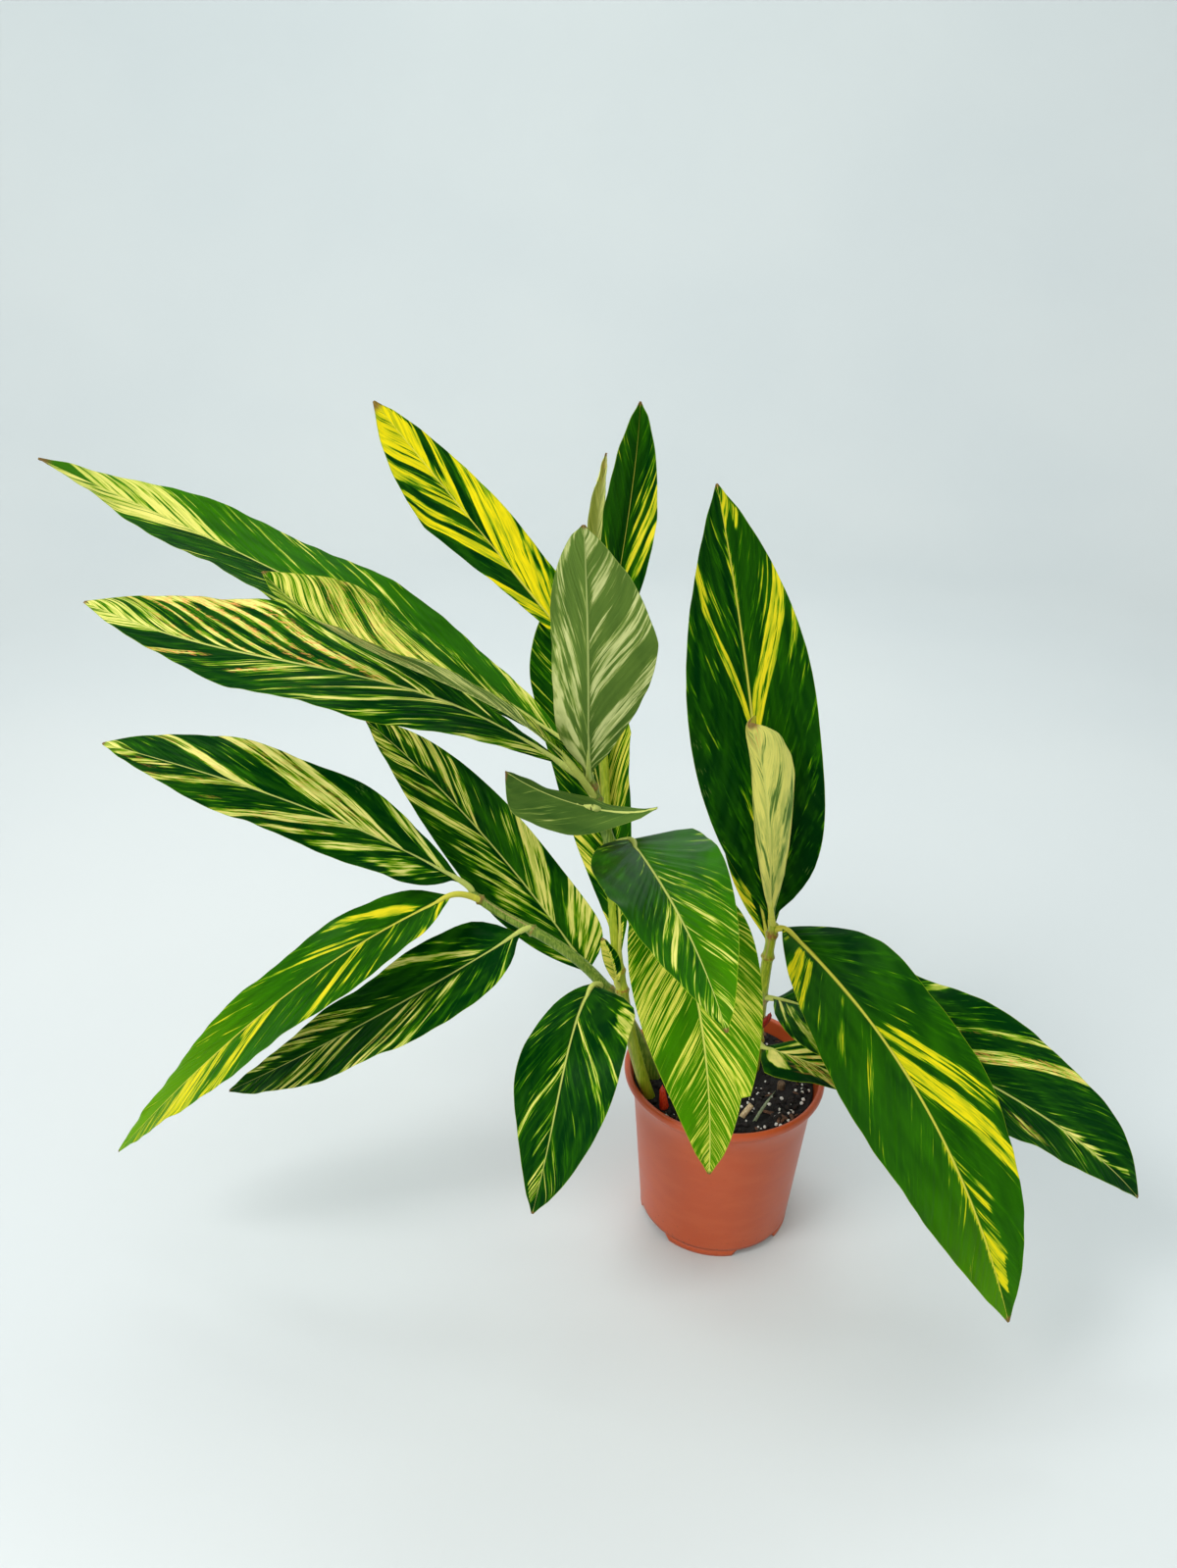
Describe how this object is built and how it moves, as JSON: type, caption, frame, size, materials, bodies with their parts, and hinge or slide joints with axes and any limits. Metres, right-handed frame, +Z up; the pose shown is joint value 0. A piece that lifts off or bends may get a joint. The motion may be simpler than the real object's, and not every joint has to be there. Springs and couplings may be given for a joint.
{
  "type": "potted variegated shell ginger",
  "caption": "Variegated shell ginger with arching striped leaves on leafy canes, growing from a rhizome in soil in a round terracotta-coloured plastic nursery pot.",
  "frame": {"origin": "on the axis of the round pot, at the level of the surface that its feet stand on", "axes": "+Z up along the pot's axis, -Y towards the front of the plant, +X to the right seen from the front"},
  "size_m": [0.7244, 0.3474, 0.6133],
  "materials": {
    "pot_plastic": "satin moulded terracotta-coloured plastic",
    "potting_mix": "crumbly dark peat mix with white perlite and brown bark",
    "rhizome_skin": "matt fibrous rootstock",
    "cane": "smooth satin yellow-green stem",
    "leaf_cream": "satin dark green leaf with cream-yellow stripes",
    "leaf_yellow": "satin green leaf with bright yellow stripes",
    "leaf_grey": "matt grey-green leaf underside with pale streaks",
    "shoot_red": "smooth waxy red-orange shoot",
    "shoot_green": "matt grey-green young leaf",
    "dry_sheath": "dry papery stub of an old stem"
  },
  "bodies": {
    "root": {"cane_front": "cane", "cane_back": "cane", "cane_left": "cane", "cane_right": "cane", "leaf_front_1": "leaf_yellow", "leaf_front_2": "leaf_cream", "leaf_front_3": "leaf_grey", "leaf_front_4": "leaf_cream", "leaf_front_5": "leaf_cream", "leaf_front_6": "leaf_cream", "leaf_front_7": "leaf_grey", "leaf_back_1": "leaf_yellow", "leaf_back_2": "leaf_yellow", "leaf_back_3": "leaf_yellow", "leaf_back_4": "leaf_yellow", "leaf_back_5_furled": "leaf_cream", "leaf_left_1": "leaf_cream", "leaf_left_2": "leaf_cream", "leaf_left_3": "leaf_cream", "leaf_left_4": "leaf_yellow", "leaf_left_5": "leaf_cream", "leaf_right_1": "leaf_cream", "leaf_right_2": "leaf_cream", "leaf_right_3": "leaf_yellow", "leaf_right_4": "leaf_yellow", "leaf_right_5": "leaf_yellow", "leaf_right_6_furled": "leaf_yellow", "shoot_red": "shoot_red", "sheath_stub": "dry_sheath", "cane_stub": "dry_sheath", "shoot_grey": "shoot_green", "rhizome": "rhizome_skin", "soil": "potting_mix", "pot": "pot_plastic"}
  },
  "joints": []
}
